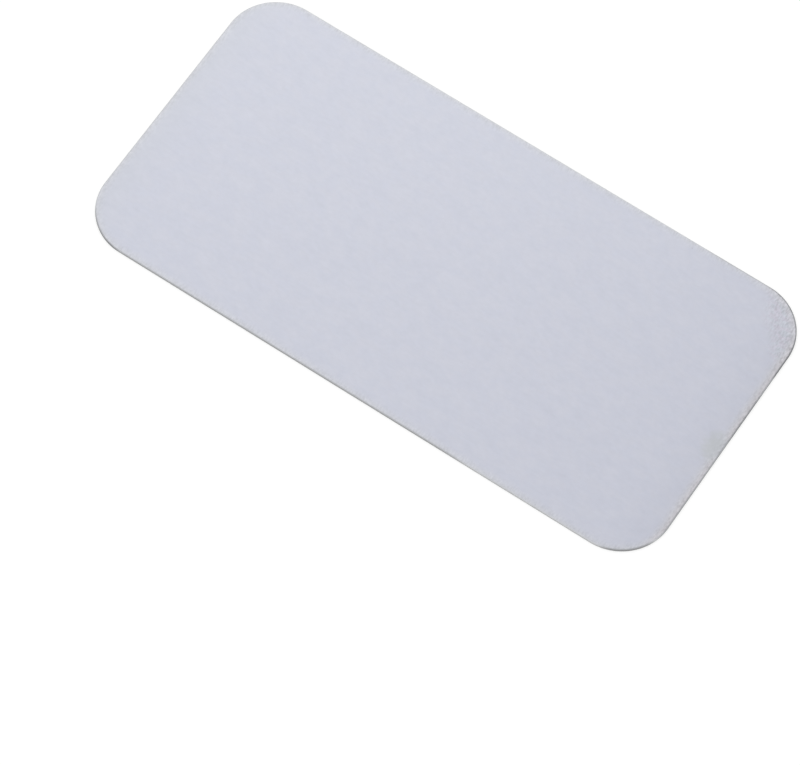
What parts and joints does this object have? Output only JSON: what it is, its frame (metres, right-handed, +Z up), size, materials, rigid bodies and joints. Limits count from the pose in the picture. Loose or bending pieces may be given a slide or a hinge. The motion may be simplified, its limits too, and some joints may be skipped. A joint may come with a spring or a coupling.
{
  "type": "magnetic phone mount plate",
  "caption": "Thin flat rectangular steel plate with rounded corners and a blanked edge, bonded to a phone or slipped in its case so that a magnetic holder can grip it.",
  "frame": {"origin": "centre of the back face, the face that lies on the phone", "axes": "+X along the plate's length, +Y across its width, +Z up out of the front face, the face that the magnetic holder grips"},
  "size_m": [0.06, 0.03, 0.0003],
  "materials": {
    "steel": "satin cold-rolled strip, faint grain along its length, cut edge darker and plainer"
  },
  "bodies": {
    "root": {"plate": "steel"}
  },
  "joints": []
}
